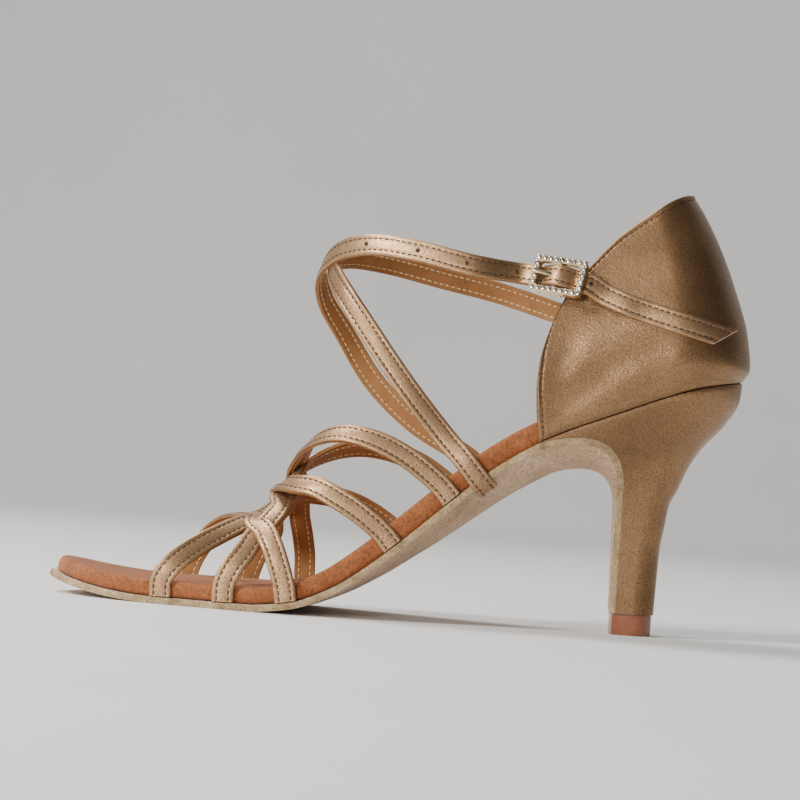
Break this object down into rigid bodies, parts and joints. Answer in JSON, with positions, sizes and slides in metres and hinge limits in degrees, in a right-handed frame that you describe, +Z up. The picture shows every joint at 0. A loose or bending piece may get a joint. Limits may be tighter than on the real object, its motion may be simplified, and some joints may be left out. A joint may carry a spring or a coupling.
{
  "type": "ballroom dance sandal",
  "caption": "Open-toe ballroom dance sandal for the left foot, with crossed straps, suede sole, closed counter and slim flared heel, for dressing a dancer figure or a shoe shelf",
  "frame": {"origin": "floor level, under the middle of the shoe's overall box", "axes": "+Z up, toe towards -Y, heel towards +Y, outer side of the foot towards +X"},
  "size_m": [0.0806, 0.2276, 0.146],
  "materials": {
    "microfibre": "short matte nap",
    "suede": "brushed suede",
    "metallic_leather": "bronze metallic satin",
    "tip_plastic": "glossy",
    "pale_gold": "polished"
  },
  "bodies": {
    "root": {"insole": "microfibre", "outsole": "suede", "heel": "metallic_leather", "heel_tip": "tip_plastic", "counter": "metallic_leather", "vamp_straps": "metallic_leather", "ankle_strap": "metallic_leather", "buckle_tab": "metallic_leather", "buckle_frame": "pale_gold", "buckle_prong": "pale_gold"}
  },
  "joints": []
}
